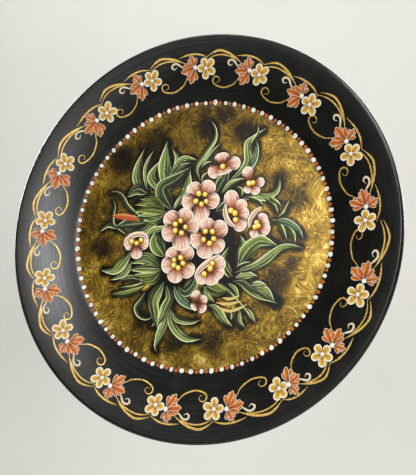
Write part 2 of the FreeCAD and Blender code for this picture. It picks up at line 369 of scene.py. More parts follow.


# the gold's level: shares of the strokes and the patches, less the painted shade's share (below zero under
# the painted highlight at the right) and a drop
STROKE_SHARE, PATCH_SHARE, SHADE_SHARE, LEVEL_DROP = 1.45, 0.9, 0.62, 0.66
# from bare black to the palest gold; the palest, whitest stops mostly serve the painted highlight at the
# right
GILDING = (
    (0.0, (14, 11, 5)), (0.3, (44, 33, 8)), (0.5, (92, 70, 16)),
    (0.7, (142, 112, 34)), (0.87, (200, 174, 92)), (1.0, (228, 208, 138)),
)


def gilded_material():
    """Gold powder brushed over black in short swirling strokes, dark where the brush left it bare."""
    gloss = {"Metallic": 0.4, "Roughness": 0.36, "Specular_IOR_Level": 0.25}
    material, tree, shader = new_material("gilded_ground", **gloss)
    place = face_millimetres(tree)
    chosen = node(tree, "MapRange", {"interpolation_type": "SMOOTHSTEP"}, Value=noise(tree, place, 0.06, 1.0),
                  From_Min=0.42, From_Max=0.58).outputs[0]
    strokes = node(tree, "Mix", {"data_type": "FLOAT"}, _0=chosen, _2=arc_strokes(tree, place, 34.0, 7.0),
                   _3=arc_strokes(tree, place, 22.0, 53.0)).outputs[0]
    patches = noise(tree, place, 0.045, 4.0, 0.6)
    level = math_node(tree, "ADD", times(tree, strokes, STROKE_SHARE), times(tree, patches, PATCH_SHARE))
    # the shade painted on the ground: dark where bare and under the foliage, below zero for the painted
    # highlight
    shade = node(tree, "Attribute", {"attribute_name": "shade"}).outputs["Fac"]
    level = math_node(tree, "SUBTRACT", level, times(tree, shade, SHADE_SHARE))
    level = math_node(tree, "SUBTRACT", level, LEVEL_DROP)
    feed(shader, "Base Color", ramp(tree, level, GILDING))
    return material


def oil_material():
    """Oil paint: each touch's own colour, streaked along the stroke as bristles leave it."""
    material, tree, shader = new_material("oil_paint", Roughness=0.5, Specular_IOR_Level=0.15)
    own = node(tree, "Attribute", {"attribute_name": "paint"}).outputs["Color"]
    stroke = node(tree, "Attribute", {"attribute_name": "stroke"}).outputs["Vector"]
    bristles = noise(tree, vector_node(tree, "MULTIPLY", stroke, (0.25, 2.4, 1.0)), 1.0, 4.0, 0.6)
    darker = blend_colour(tree, 1.0, own, rgba((176, 170, 160)), "MULTIPLY")
    lighter = blend_colour(tree, 0.008, own, rgba((255, 250, 235)))
    feed(shader, "Base Color", blend_colour(tree, bristles, darker, lighter))
    return material


def gold_line_material():
    """Gold powder paint drawn in fine lines."""
    material, tree, shader = new_material("gold_line", Metallic=0.45, Roughness=0.4)
    grain = noise(tree, face_millimetres(tree), 0.9, 4.0)
    colour = ramp(tree, grain, ((0.3, (140, 108, 38)), (0.5, (186, 150, 70)), (0.7, (216, 188, 114))))
    feed(shader, "Base Color", colour)
    return material


def steel_material(name, light, dark, roughness):
    """Drawn or pressed steel with a faint stain and fine scratches."""
    material, tree, shader = new_material(name, Metallic=1.0, Roughness=roughness)
    place = face_millimetres(tree)
    stain = noise(tree, place, 0.5, 6.0, 0.7)
    feed(shader, "Base Color", ramp(tree, stain, ((0.35, dark), (0.62, light))))
    bump = node(tree, "Bump", Strength=0.25, Distance=0.00005, Height=noise(tree, place, 6.0, 3.0))
    feed(shader, "Normal", bump.outputs[0])
    return material


# ---- the tray itself
def tray_profile():
    """The section of the sheet as one closed line from the axis, over the front, round the roll and back."""
    def arc(centre_r, centre_y, radius, start, end, count):
        angles = np.linspace(start, end, count)
        return [(centre_r + radius * math.sin(a), centre_y - radius * math.cos(a)) for a in angles]

    def sheet(start, end, count, depth=0.0):
        return [(r, float(sheet_y(r, depth))) for r in np.linspace(start, end, count)]

    inner = ROLL_RADIUS - SHEET
    roll_end = -LIP_SLOPE + ROLL_TURN
    flat = [(r, -SHEET) for r in (0.0, 20, 40, 60, 75, 88)]
    cove = sheet(BASE_RADIUS, cove_end, 10)
    flange = sheet(cove_end, flange_end, 26)[1:-1]
    roll = arc(roll_centre, roll_centre_y, ROLL_RADIUS, -LIP_SLOPE, roll_end, 40)
    inside = arc(roll_centre, roll_centre_y, inner, roll_end, -LIP_SLOPE, 28)
    back_end = BASE_RADIUS + (COVE_RADIUS + SHEET) * math.sin(COVE_SLOPE)
    inside_end = roll_centre - inner * math.sin(LIP_SLOPE)
    back = sheet(inside_end, back_end, 24, SHEET)[1:]
    back_cove = sheet(back_end, BASE_RADIUS, 9, SHEET)[1:]
    return flat + cove + flange + roll + inside + back + back_cove + [(r, 0.0) for r in (88, 70, 50, 30, 0.0)]


def make_tray(material):
    """The pressed sheet: its section carried round the axis, a point to each degree."""
    profile = np.array(tray_profile())
    turns = np.linspace(0, TURN, 361)
    radius, y = profile[:, :1], profile[:, 1:]
    x, z = radius * np.cos(turns), radius * np.sin(turns)
    mesh = grid_mesh("tray_shell", np.stack([x, y + unevenness(x, z), z], -1) * MM)
    close_up(mesh)
    tray = piece("tray_shell", mesh, material)
    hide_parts("tray_body")


# ---- the gilded ground
GROUND_RADIUS = 100.4
GROUND_LIFT = 0.03
# where the brush left the ground nearly bare: x, z, radius
BARE_PATCHES = (
    (-58, 68, 12), (-30, 75, 14), (15, 80, 10), (30, 88, 8), (45, 72, 10), (68, 32, 7), (76, 15, 10),
    (58, -42, 10), (70, -32, 7), (-25, -78, 10), (5, -80, 9), (-48, -60, 8), (-80, 0, 9),
)
# where the gold is drawn lighter, or darker if negative: x, z, radius, how much; the lighter ones at the
# right are a painted highlight, the gold's reflection painted into its colour
GOLD_TONE_AND_HIGHLIGHT_PATCHES = (
    (97, 6, 17, 0.24), (90, -22, 20, 0.16), (66, 44, 24, 0.1), (60, -58, 30, 0.12), (-80, -38, 28, 0.2),
    (-4, -88, 30, 0.14), (0, 90, 28, -0.12), (-82, 22, 24, -0.12), (-50, 66, 24, -0.12),
)
# the dark painted middle the bouquet grows from: x, z, radius
UNDERPAINT = ((0, 0, 30), (-28, 12, 22), (-30, -34, 18), (20, 18, 18), (22, -30, 18))
# how dark the bare patches are, and how dark it is under the foliage
BARE_SHADE, COVERED_SHADE = 0.5, 1.3


def make_ground(material, painted):
    """The gold disc, dark under the foliage and close to it: painted says where, as (x, z, radius)."""
    radius = np.concatenate([np.linspace(0, 98, 82), [99.2, GROUND_RADIUS]])[:, None]
    turns = np.linspace(0, TURN, 481)[None, :]
    wobble = 1 + 0.0025 * np.sin(turns * 7 + 1) * np.sin(turns * 13) * (radius / GROUND_RADIUS)
    x, z = radius * wobble * np.cos(turns), radius * wobble * np.sin(turns)
    shade = np.zeros(x.shape)
    for px, pz, pr in BARE_PATCHES:
        shade = np.maximum(shade, BARE_SHADE * (1 - smooth(0.3, 1.4, np.hypot(x - px, z - pz) / pr)))
    # a painted highlight at the right of the gold, and lighter or darker gold elsewhere
    for px, pz, pr, gain in GOLD_TONE_AND_HIGHLIGHT_PATCHES:
        shade -= gain * np.exp(-((np.hypot(x - px, z - pz) / pr) ** 2))
    near = np.full(x.shape, GROUND_RADIUS)
    for px, pz, pr in (*painted, *UNDERPAINT):
        near = np.minimum(near, np.hypot(x - px, z - pz) - pr)
    covered = 1 - smooth(-2, 4, near)
    shade = shade * (1 - covered) + COVERED_SHADE * covered
    lift = np.where(radius < GROUND_RADIUS, GROUND_LIFT, BURIED)
    mesh = grid_mesh("gilded_ground", on_face(x, z, lift))
    mesh.attributes.new("shade", "FLOAT", "POINT").data.foreach_set("value", shade.ravel())
    close_up(mesh)
    piece("gilded_ground", mesh, material)


# ---- the ring of dots
DOT_RING = 100.9
DOT_PAIRS = 81
WHITE, CHALK, GREY = (240, 238, 232), (222, 219, 210), (112, 112, 104)
DOT_RUST, DOT_EDGE = (188, 112, 36), (128, 62, 16)
# the share of the white dots that have a grey mark in the middle
MARKED = 0.6


def make_dots(material):
    """White and rust dots by turns round the gilded ground, each a little off its place."""
    rng = random.Random(11)
    white, rust = Paint(), Paint()
    for i in range(DOT_PAIRS):
        for paint, share, inner, outer in ((white, 0.0, WHITE, CHALK), (rust, 0.5, DOT_RUST, DOT_EDGE)):
            angle = TURN * (i + share + rng.uniform(-0.05, 0.05)) / DOT_PAIRS
            radius = DOT_RING + rng.uniform(-0.3, 0.3)
            size = rng.uniform(1.4, 1.75) if paint is white else rng.uniform(1.25, 1.65)
            x, z = radius * math.sin(angle), radius * math.cos(angle)
            stretch, turn = rng.uniform(1, 1.2), rng.uniform(0, TURN)
            blob(paint, x, z, size, 0.3, inner, outer, 0.02, stretch, turn)
            if paint is white and rng.random() < MARKED:
                x, z = x + rng.uniform(-0.2, 0.2), z + rng.uniform(-0.2, 0.2)
                blob(white, x, z, 0.45, 0.01, GREY, GREY, 0.34, sides=8)
    piece("dots_white", white.mesh("dots_white"), material)
    piece("dots_rust", rust.mesh("dots_rust"), material)


# ---- the border garland
# each flower's place: degrees clockwise from the top, and radius
BORDER_FLOWERS = (
    (9.5, 124.5), (29.3, 124), (50.7, 122.5), (73, 124.5), (95, 123.5), (117.8, 127),
    (138.3, 128), (155, 127.3), (177, 126.2), (197, 126), (218.5, 126), (241, 126),
    (261.3, 126.5), (282.3, 126), (304.2, 125), (328.4, 123.5), (348.9, 125),
)
BORDER_RADIUS = 124.0
# one repeat of the garland, drawn as mm clockwise and mm outward from its flower, is this long
BORDER_PERIOD = 45.9
# where the small petals and the sprig's dot lie, in the same way
PETAL_PLACES = ((-1.4, 5.6), (4.3, 4.9), (5.0, -1.6), (-0.6, -4.3), (-4.3, 1.0))
SPRIG = (-8.6, 2.0)
# tip of each lobed leaf, all springing from the sprig's dot
SPRIG_LEAVES = ((-12.4, 10.4), (-15.2, -8.4), (-20.6, 1.0))
# width of each scroll, and the points it runs through
GOLD_SCROLLS = (
    (1.2, ((-20.7, 10.6), (-12.4, 11.7), (-5, 11), (1.6, 8.4))),
    (1.5, ((-44.6, 9.6), (-39, 12.6), (-33.9, 13.6), (-26, 11.2), (-16, 5.6))),
    (1.0, ((-45, 7.4), (-39, 9.8), (-33.1, 10.6), (-26, 9.6), (-18.1, 7.1))),
    (1.05, ((-14, -2.6), (-17, -5.1), (-21, -9.4), (-28.9, -12.1), (-35.3, -11.4), (-39.3, -9.4), (-40, -6.9),
           (-38.6, -5), (-36, -4.7), (-33.9, -6.4), (-34.6, -8.3), (-36.7, -8.7))),
)
WHITE_CURL = ((-17.6, 2.2), (-19.6, 3.9), (-23.1, 7.1), (-26, 7.1), (-27.4, 5.3), (-25.6, 3.4), (-23.4, 4.6))
PETAL_GOLD, PETAL_AMBER, PETAL_EDGE = (206, 168, 74), (146, 98, 22), (232, 228, 214)
RUST, DEEP_RUST, RUST_LIGHT, RUST_EDGE = (166, 78, 2), (104, 38, 2), (196, 112, 8), (222, 212, 196)
SCROLL_GOLD, CURL_WHITE = (206, 164, 76), (212, 202, 174)


def border_map(angle, radius, stretch):
    """A function that carries a motif's own (clockwise, outward) millimetres onto the border."""
    def place(points):
        given = np.atleast_2d(np.asarray(points, float))
        turn = np.radians(angle) + given[:, 0] * stretch / BORDER_RADIUS
        out = radius + given[:, 1]
        return np.stack([out * np.sin(turn), out * np.cos(turn)], -1)
    return place


def lobe(heart, direction, reach, width, steps=12, waist=0.34):
    """Points of an egg-shaped petal growing out of the heart: s runs along it, across from side to side."""
    across = np.array([-1, -0.93, -0.8, -0.62, -0.4, -0.2, 0, 0.2, 0.4, 0.62, 0.8, 0.93, 1])[None, :]
    s = np.sin(np.linspace(0, math.pi / 2, steps))[:, None]
    widest = 0.6
    swell = waist + (1 - waist) * smooth(0.0, widest, s)
    round_end = (1 - np.clip((s - widest) / (1 - widest), 0, 1) ** 2.4) ** 0.5
    sideways = (width / 2 * np.where(s < widest, swell, round_end) + 0.02) * across
    turn = math.radians(direction)
    x = heart[0] + s * reach * math.cos(turn) - sideways * math.sin(turn)
    z = heart[1] + s * reach * math.sin(turn) + sideways * math.cos(turn)
    return x, z, s, across, sideways


def heading(start, end):
    """How far it is from start to end, and in which direction, in degrees."""
    way = np.array(end) - np.array(start)
    return float(np.hypot(*way)), math.degrees(math.atan2(way[1], way[0]))


# the lobes of a border leaf: how far along it they spring, degrees off its line, reach and width of each
OAK_LOBES = (
    (0.15, 40, 0.6, 0.21), (0.15, -40, 0.6, 0.21), (0.4, 27, 0.5, 0.19), (0.4, -27, 0.5, 0.19),
    (0.0, 0, 1.0, 0.24),
)


def lobed_leaf(paint, base, tip, lift):
    """A small oak-like leaf: five pointed rust lobes, each over a wider pale one that shows as an outline."""
    length, line = heading(base, tip)
    for number, (share, turn, reach, broad) in enumerate(OAK_LOBES):
        start = base + (tip - base) * share
        direction = line + turn + 6 * math.sin(number * 2.3 + length)
        for outline, rise in ((1, 0.0), (0, 0.015)):
            size = reach * length + 0.3 * outline, broad * length + 0.62 * outline
            x, z, s, across, sideways = lobe(start, direction, *size, 7, 0.4)
            body = mix(RUST, RUST_LIGHT, smooth(-0.8, 0.8, across) * smooth(0.1, 0.7, s))
            body = RUST_EDGE if outline else mix(DEEP_RUST, body, smooth(0.0, 0.5, s + 0.2 * across))
            paint.touch(x, z, lift + rise + 0.03 * number, body, s * reach * length, sideways)


def small_petal(paint, heart, place, lift):
    """A petal of a border flower: a pale outline round a gold lobe with an amber crease."""
    reach, direction = heading(heart, place)
    reach += 2.7
    x, z, s, across, sideways = lobe(heart, direction, reach, 5.6, waist=0.15)
    paint.touch(x, z, lift, PETAL_EDGE, s * reach, sideways)
    x, z, s, across, sideways = lobe(heart, direction, reach - 0.85, 4.0, waist=0.15)
    crease = 0.6 * np.exp(-((across / 0.3) ** 2)) * (s < 0.8)
    body = mix(PETAL_GOLD, PETAL_AMBER, 1 - smooth(0.1, 0.55, s) + crease)
    paint.touch(x, z, lift + 0.03 + 0.05 * np.sin(math.pi * s) * (1 - across**2), body, s * reach, sideways)


def make_border(oil, gold):
    """The garland: a flower, a sprig and its scrolls at each place, stretched to reach the flower before."""
    rng = random.Random(5)
    for i, (angle, radius) in enumerate(BORDER_FLOWERS):
        gap = math.radians((angle - BORDER_FLOWERS[i - 1][0]) % 360)
        place = border_map(angle, radius, gap * BORDER_RADIUS / BORDER_PERIOD)
        flower, sprig, scrolls = Paint(), Paint(), Paint()
        base = place(SPRIG)[0]
        for order, tip in enumerate(SPRIG_LEAVES):
            lobed_leaf(sprig, base, place(tip)[0], 0.05 + 0.15 * order)
        blob(sprig, *base, 1.6, 0.25, WHITE, CHALK, 0.5)
        heart = place((0, 0.8))[0]
        for spot in PETAL_PLACES:
            small_petal(flower, heart, place(spot)[0], 0.1)
        blob(flower, *heart, 1.35, 0.2, WHITE, CHALK, 0.22)
        for width, route in GOLD_SCROLLS:
            line = place(curve_through(route, 0.8))
            brush_line(scrolls, line, width * rng.uniform(0.92, 1.08), SCROLL_GOLD, 0.02, height=0.1)
        brush_line(sprig, place(curve_through(WHITE_CURL, 0.8)), 1.4, CURL_WHITE, 0.02, height=0.1)
        piece(f"border_scrolls_{i + 1:02d}", scrolls.mesh("scrolls"), gold)
        for kind, paint in (("sprig", sprig), ("flower", flower)):
            piece(f"border_{kind}_{i + 1:02d}", paint.mesh(kind), oil)


# ---- the leaves
# each tone: in shadow, in the middle, in the light, and the pale line along its edge
TONES = {
    "green": ((30, 42, 22), (92, 114, 48), (144, 160, 78), (222, 228, 174)),
    "bright": ((48, 66, 28), (108, 130, 56), (158, 172, 88), (232, 236, 194)),
    "dark": ((18, 26, 16), (40, 54, 30), (92, 110, 52), (196, 206, 150)),
    "blue": ((26, 44, 30), (62, 96, 60), (112, 144, 92), (210, 222, 186)),
    "yellow": ((34, 44, 14), (88, 102, 36), (136, 146, 60), (196, 202, 120)),
    "pale": ((64, 78, 44), (122, 136, 76), (170, 180, 112), (238, 240, 208)),
    "gold": ((120, 96, 20), (196, 160, 34), (236, 206, 66), (248, 232, 130)),
}
# tone, width, the points it grows through, and -1 where its right side is the lit one, not its left
LEAVES = {}
LEAVES["upper_left"] = (
    ("green", 6, ((-39, 38), (-47, 52), (-38, 74))),
    ("green", 4, ((-38, 40), (-38.5, 55), (-35.5, 63), (-30, 71))),
    ("dark", 9, ((-38, 37), (-46, 42), (-56, 37))),
    ("dark", 12, ((-40, 14), (-55, 15), (-67, 15)), -1),
    ("green", 2.6, (
        (-73, 42), (-66, 43), (-60, 39), (-56, 31), (-51, 25), (-44, 18), (-37, 13), (-30, 13.5))),
    ("bright", 1.6, ((-68.5, 39), (-66.5, 32), (-68, 25), (-68.5, 19), (-66, 14), (-57, 6.5))),
    ("green", 3, ((-64, 13), (-73, 17), (-81, 13))),
    ("green", 6, ((-27, 14), (-35, 13), (-42, 8), (-57, 8))),
    ("bright", 5, ((-40, 1), (-36, 7), (-20, 8))),
    ("yellow", 6, ((-24, 20), (-33, 31), (-45, 34))),
    ("green", 6, ((-24, 19), (-32, 15), (-44, 15)), -1),
    ("yellow", 6.5, ((-24, 20), (-36, 29), (-49.5, 30))),
    ("green", 6.5, ((-24, 20), (-35, 19), (-48.5, 20)), -1),
    ("yellow", 7, ((-23, 20), (-36, 24), (-51, 25))),
)
LEAVES["top"] = (
    ("dark", 9, ((-20, 36), (-20, 52), (-17, 62))),
    ("dark", 6, ((-20, 44), (-10, 52), (0, 55))),
    ("green", 6, ((-26, 36), (-34, 50), (-24, 62))),
    ("bright", 9, ((-24, 38), (-22, 60), (-18.5, 76))),
    ("green", 4, ((-15, 51), (-11, 60), (-14.5, 69))),
    ("green", 4.5, ((-17, 50), (-7, 59), (5, 56))),
    ("dark", 12, ((-18, 20), (-25, 38), (-14, 43.5), (0, 52))),
    ("bright", 7, ((-17, 22), (-6, 34), (-1.5, 50)), -1),
    ("green", 4, ((-17, 21), (-12, 27), (-9, 31))),
)
LEAVES["upper_right"] = (
    ("bright", 3.5, ((6, 39), (4, 50), (12, 60), (20, 69), (21.5, 77), (18.5, 85)), -1),
    ("green", 3, ((7, 48), (15, 57), (24.5, 66))),
    ("green", 2.6, ((8, 50), (13, 52), (17, 52.5))),
    ("green", 3, ((8, 38), (9, 42), (14, 45.5))),
    ("dark", 9, ((18, 28), (26, 40), (29, 47))),
    ("blue", 6, ((32, 38), (46, 45), (51, 53), (52.5, 63)), -1),
    ("bright", 6, ((28, 35), (38, 40), (44, 47), (45, 58), (47, 63), (61, 70.5))),
    ("bright", 1.4, ((46, 57), (49, 62), (54, 68), (55, 74))),
    ("green", 4, ((22, 27), (30, 33), (38, 35), (41, 34))),
    ("green", 3, ((34, 30), (37, 27), (37, 22))),
)
LEAVES["right"] = (
    ("dark", 9, ((16, 14), (24, 16), (31, 26))),
    ("bright", 5, ((36, 20), (48, 20.5), (56, 18.5), (64, 22), (67, 31)), -1),
    ("green", 3, ((40, 21), (48, 17.5), (53, 12.5))),
    ("green", 3, ((54, 18), (60, 12), (63, 5))),
    ("bright", 3, ((57, 18), (62, 14), (66, 10))),
    ("green", 3, ((62, 2), (68, 5), (72.5, 14))),
    ("bright", 3, ((57, 1), (63, -2), (67.5, -15))),
    ("blue", 5, ((60, 1), (70, -3), (76, -9), (79, -16))),
    ("bright", 3, ((68, -5), (72, -11), (73, -18))),
    ("green", 5, ((34, 4), (39, 3.5), (44, 4))),
)
LEAVES["lower_right"] = (
    ("dark", 10, ((25, -39), (33, -40), (40, -46), (52, -55), (57, -59)), -1),
    ("bright", 5, ((38, -44), (48, -48), (54, -57))),
    ("pale", 5, ((38, -44), (44, -44), (50, -45))),
    ("pale", 5, ((27, -37), (36, -36), (44, -38))),
    ("green", 6, ((25, -36), (19, -24), (24, -14))),
    ("green", 7, ((29, -28), (33, -21), (35, -14), (33, -6)), -1),
    ("bright", 6, ((27, -33), (40, -31), (50, -27), (62, -20), (70, -19.5), (78, -22))),
    ("bright", 10, ((30, -28), (38, -18), (46, -13), (52, -14), (61, -18.5))),
    ("green", 3, ((28, -30), (34, -28), (40, -27))),
    ("green", 3, ((23, -36), (20, -31), (20, -27))),
)
LEAVES["bottom"] = (
    ("bright", 6, ((5, -54), (10, -57), (16, -66), (22, -71.5))),
    ("green", 4, ((28, -60), (27, -68), (31, -73))),
    ("green", 4, ((32, -59), (36, -65), (39, -70.5))),
    ("green", 2.5, ((21, -60), (21, -64), (21, -67))),
    ("green", 4, ((21, -40), (26, -46), (28, -53))),
    ("green", 2.6, ((14, -38), (22, -48), (30, -58), (38, -70))),
    ("green", 5, ((3, -40), (4, -47), (10, -53))),
    ("yellow", 9, ((4, -40), (12, -44), (21, -46))),
)
LEAVES["lower_left"] = (
    ("bright", 6, ((-27, -51), (-30, -62), (-36, -73), (-39, -80), (-38, -84)), -1),
    ("bright", 6, ((-26, -53), (-24, -66), (-15, -76), (-2, -78)), -1),
    ("green", 4, ((-25, -54), (-20, -62), (-10, -65), (-2, -64)), -1),
    ("blue", 6, ((-21, -37), (-17, -46), (-10, -53), (-4, -57)), -1),
    ("dark", 9, ((-18, -38), (-12, -42), (-5, -36), (-4, -27)), -1),
    ("green", 7, ((-27, -36), (-25, -45), (-29, -52), (-33, -60), (-42, -65.5)), -1),
    ("green", 9, ((-29, -33), (-38, -45), (-38, -55), (-36.5, -68))),
    ("green", 3, ((-44, -38), (-48, -44), (-53, -50), (-51, -56), (-45, -59), (-39, -57.5)), -1),
)
LEAVES["left"] = (
    ("dark", 4, ((-65, -27), (-55, -27), (-45, -31))),
    ("green", 3, ((-67, -33), (-55, -34), (-38, -30))),
    ("yellow", 4, ((-73, -37), (-62, -38), (-50, -36), (-42, -33))),
    ("green", 5, ((-55, -14), (-60, -21), (-67, -24.5), (-74, -26))),
    ("bright", 7, ((-54, -6), (-62, -14), (-70, -19.5), (-81, -17.5))),
    ("gold", 2.2, ((-48, -38), (-42, -35), (-37, -31))),
    ("green", 6, ((-31, -23), (-40, -12), (-51, -11))),
    ("yellow", 6, ((-31, -24), (-38, -31), (-49, -30)), -1),
    ("green", 6.5, ((-31, -23), (-43, -15), (-56, -15))),
    ("yellow", 6.5, ((-31, -24), (-42, -27), (-55, -25)), -1),
    ("green", 7, ((-31, -23), (-43, -21), (-57, -20))),
    ("green", 12, ((-27, -14), (-33, -3), (-33, 7))),
)
# drawn heights: lowest leaf, steps from spray to spray and leaf to leaf, a leaf's bulge, its lines over it
LEAF_LIFT, SPRAY_STEP, LEAF_STEP, LEAF_CROWN, LINE_RISE = 0.05, 0.0035, 0.027, 0.018, 0.004
# mm: how wide a leaf is to have a vein, and to have many side veins
VEINED, BROAD = 3.5, 4.5
LEAF_BASE = (16, 20, 12)


def leaf(paint, spine, width, tone, lit, lift, rng):
    """One leaf: shaded across, with a pale line on the lit edge, a vein, and side veins on a broad leaf."""
    shadow, middle, light, edge = TONES[tone]
    line = curve_through(spine, 1.0)
    run = lengths(line)
    t = run / run[-1]
    ripple = 1 + 0.07 * np.sin(run / rng.uniform(2.6, 3.6) + rng.uniform(0, 6))
    half = width / 2 * np.sin(math.pi * t**0.8) ** 1.15 * 1.08 * ripple + 0.1
    across = np.array([-1, -0.86, -0.7, -0.45, -0.2, 0, 0.2, 0.45, 0.7, 0.86, 1])
    side, along = across * lit, t[:, None]
    body = mix(shadow, middle, smooth(-0.35, 0.45, side))
    body = mix(body, light, smooth(0.42, 0.95, side) * (0.35 + 0.65 * along))
    body = mix(body, shadow, 0.6 * np.exp(-(((side + 0.05) / 0.28) ** 2)) * (1 - smooth(0.45, 0.9, along)))
    body = mix(body, LEAF_BASE, 0.75 * (1 - smooth(0.0, 0.36, along)))
    body = mix(body, edge, smooth(0.78, 0.95, np.abs(side)) * np.where(side > 0, 0.6, 0.2))
    band(paint, line, half, across, lift, LEAF_CROWN, body, run)
    top = lift + LEAF_CROWN + LINE_RISE
    count = len(line)
    rim = beside_line(line, half, 0.86 * lit)[int(count * 0.08): max(int(count * 0.97), 4)]
    brush_line(paint, rim, min(0.34 + 0.045 * width, 0.62), edge, top, taper=(0.5, 0.15), height=0.004)
    if width >= VEINED:
        vein = mix(middle, edge, 0.6)
        brush_line(paint, line[: int(count * 0.85)], 0.45 + 0.02 * width, vein, top, height=0.004)
    few = (0.3, light), (0.55, edge)
    more = (-0.3, middle), (-0.55, light), (0.7, light), (-0.72, edge), (0.12, shadow)
    for place, tint in few + more if width >= BROAD else few:
        start, end = sorted((rng.uniform(0.08, 0.5), rng.uniform(0.55, 0.95)))
        first = int(count * start)
        streak = beside_line(line, half, place * lit)[first: max(int(count * end), first + 4)]
        tint = mix(middle, tint, rng.uniform(0.35, 0.9))
        brush_line(paint, streak, rng.uniform(0.25, 0.7), tint, top, taper=(0.6, 0.6), height=0.003)


def make_leaves(material):
    """Every spray of leaves as a piece. Gives back where they lie, as (x, z, radius)."""
    rng = random.Random(21)
    covered = []
    for number, (name, leaves) in enumerate(LEAVES.items()):
        paint = Paint()
        for layer, (tone, width, spine, *side) in enumerate(leaves):
            lit = side[0] if side else 1
            leaf(paint, spine, width, tone, lit, LEAF_LIFT + number * SPRAY_STEP + layer * LEAF_STEP, rng)
            covered += [(px, pz, width * 0.35) for px, pz in curve_through(spine, 3.0)[1:-1]]
        piece(f"leaves_{name}", paint.mesh("leaves"), material)
    return covered


# ---- the flowers
PINK, BLUSH, PALE_PINK, FOLD = (204, 150, 122), (224, 188, 162), (246, 230, 216), (182, 106, 84)
THROAT, DEEP_THROAT = (128, 64, 38), (46, 26, 18)
STAMEN, STAMEN_TOP, STAMEN_EDGE, GLINT = (242, 206, 48), (255, 244, 160), (222, 170, 28), (255, 252, 226)
STAMEN_SHADE, STAMEN_SHADE_EDGE = (70, 48, 14), (44, 32, 16)
EYE, EYE_EDGE = (30, 28, 20), (70, 38, 24)
CREASE, EDGE_PINK = (118, 58, 42), (250, 242, 232)
# name: heart, level above the leaves, petals as (direction in degrees, reach, width), stamens
# from the heart, and for a half-open flower the width and course of its back petal
FLOWERS = {
    "cup_left": (
        (-50, 0), 0, ((188, 10, 8), (-14, 11, 9), (-90, 13, 9)), ((-3.5, 1.5), (0.5, -0.5), (4.5, 1.5)),
        (3.8, ((-10.5, -1), (-7, 4), (0, 6.3), (7, 5), (11, 0)))),
    "top_right": (
        (24.5, 48), 0, ((90, 10.5, 11), (206, 13, 10), (2, 14.5, 10), (-84, 7, 14)), ((0, -0.5),), None),
    "far_right": (
        (45.5, 31), 0, ((104, 13.5, 8), (-5, 10, 7), (-68, 10, 7), (232, 8.5, 6)), ((-2, 0), (1, 0)), None),
    "side_right": (
        (30, 9), 1, ((94, 20, 11), (47, 14, 9), (4, 12, 8), (-62, 14, 10)), ((-2, 4), (1, 1.5), (1, -3.5)),
        (3.6, ((-5.5, 10), (-6.5, 3), (-4.5, -4), (0.5, -9)))),
    "outer_right": (
        (47, -1), 0, ((47, 10, 8), (5, 9, 7), (-38, 10.5, 9), (-118, 9.5, 7)),
        ((-0.5, 2), (-2, -1), (0.5, -0.5)),
        (3.2, ((-6.5, -1), (-4.5, 6), (0, 10.5), (4.5, 13)))),
    "cup_lower": (
        (8, -28), 0, ((24, 13.5, 11), (-30, 12, 9), (-82, 12.5, 11), (-138, 14, 9)),
        ((2.5, 4), (0.5, 0.5), (-4.5, -3)),
        (4.2, ((-12, -5), (-8, 0.5), (-1, 5), (9, 9.5)))),
    "middle_right": (
        (9, -4), 1, ((96, 15, 12), (27, 17, 13), (-51, 16, 12), (-108, 17, 13), (186, 15, 13)),
        ((-2, 4.5), (3.5, 3.5), (4, -2), (0.5, -5), (-4, -1.5)), None),
    "lower_left": (
        (-16, -20), 2, ((122, 14, 11), (43, 15.5, 12), (-45, 15.5, 12), (-110, 16, 12), (186, 14.5, 12)),
        ((-3.5, 2.5), (2, 3.5), (3.5, -1), (-0.5, -4), (-4, -1.5)), None),
    "top": (
        (5, 26), 2, ((121, 15, 12), (48, 16, 12), (-20, 16, 12), (-92, 18, 13), (186, 15.5, 12)),
        ((-1, 4), (4, 2.5), (4.5, -3), (0.5, -4.5), (-3.8, -1.5)), None),
    "middle_left": (
        (-12.5, 6.5), 3, ((133, 17, 13), (62, 15.5, 12), (0, 15.5, 13), (-90, 18.5, 14), (198, 16.5, 13)),
        ((-4, 3), (0.5, 5), (4, -0.5), (0.5, -4.5), (-4.5, -2)), None),
}
# drawn heights: lowest flowers, steps from level to level and petal to petal, and, over the petals,
# the back petal, the eye, and each stamen's shade, body and glint
FLOWER_LIFT, FLOWER_STEP, PETAL_STEP = 0.44, 0.22, 0.02
BACK_RISE, EYE_RISE, DARK_RISE, STAMEN_RISE, GLINT_RISE = 0.16, 0.22, 0.24, 0.29, 0.345


def fine_lines(paint, heart, turn, reach, width, lift, rng):
    """Dark lines running out of a petal's throat, and pale ones running in from its rim."""
    spread = 0.5 * width / reach
    for fan in (-0.85, -0.6, -0.35, -0.12, 0.12, 0.35, 0.6, 0.85):
        dark = (CREASE, (0.1, 0.9), 0.2, rng.uniform(0.42, 0.7))
        pale = (EDGE_PINK, (0.9, 0.2), rng.uniform(0.42, 0.66), 0.88 - 0.1 * fan**2)
        for colour, taper, near, far in (dark, pale):
            angle = turn + (fan + rng.uniform(-0.1, 0.1)) * spread * 1.1
            way = np.array([math.cos(angle), math.sin(angle)]) * reach
            shares = np.array([[near], [(near + far) / 2], [far]])
            line = curve_through(np.array(heart) + way * shares, 1.0)
            brush_line(paint, line, 0.42, colour, lift + 0.1, taper=taper)


